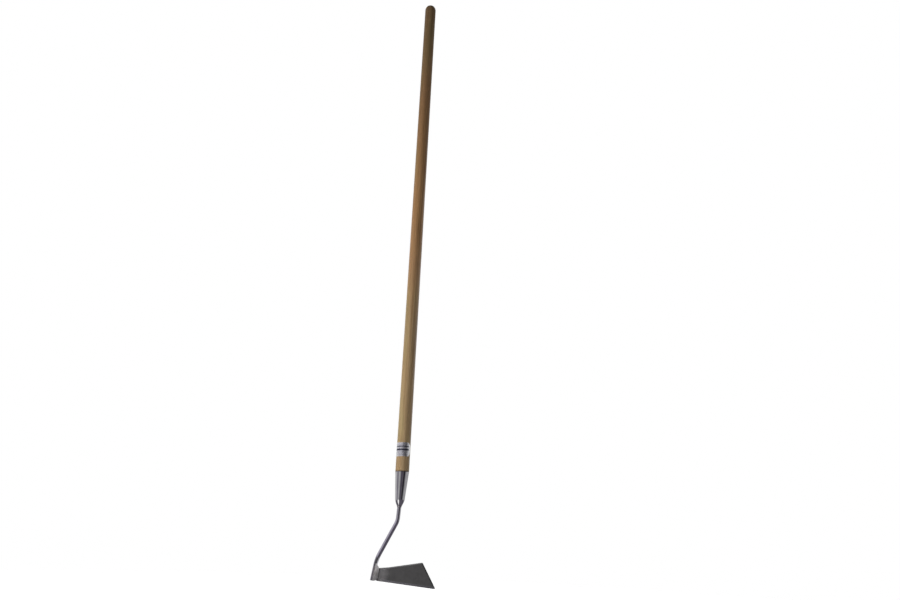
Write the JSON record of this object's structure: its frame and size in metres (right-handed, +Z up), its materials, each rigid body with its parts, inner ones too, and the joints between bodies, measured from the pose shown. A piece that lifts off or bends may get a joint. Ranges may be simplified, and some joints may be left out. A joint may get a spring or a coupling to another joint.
{
  "type": "push-pull hoe",
  "caption": "Long-handled push-pull hoe with a round wooden handle, tapered steel socket, bent round neck and a flat trapezoid blade set out to the side.",
  "frame": {"origin": "on the handle's axis, 150 mm below the top of its domed end, where the upper hand holds it", "axes": "+Z up along the handle towards its domed end, +X towards the blade's free end, -Y the side that the blade leans to"},
  "size_m": [0.1273, 0.0505, 1.4946],
  "materials": {
    "wood": "oiled ash",
    "foil": "silver foil label",
    "socket_steel": "polished stainless steel",
    "screw_steel": "bright wood screw",
    "neck_weld_steel": "weld dressed smooth",
    "rod_steel": "polished stainless bar",
    "blade_steel": "polished stainless plate",
    "tab_weld_steel": "bare weld bead"
  },
  "bodies": {
    "root": {"wood_handle": "wood", "handle_label": "foil", "socket": "socket_steel", "socket_screw": "screw_steel", "neck_weld": "neck_weld_steel", "neck_rod": "rod_steel", "blade": "blade_steel", "tab_weld_outer": "tab_weld_steel", "tab_weld_inner": "tab_weld_steel"}
  },
  "joints": []
}
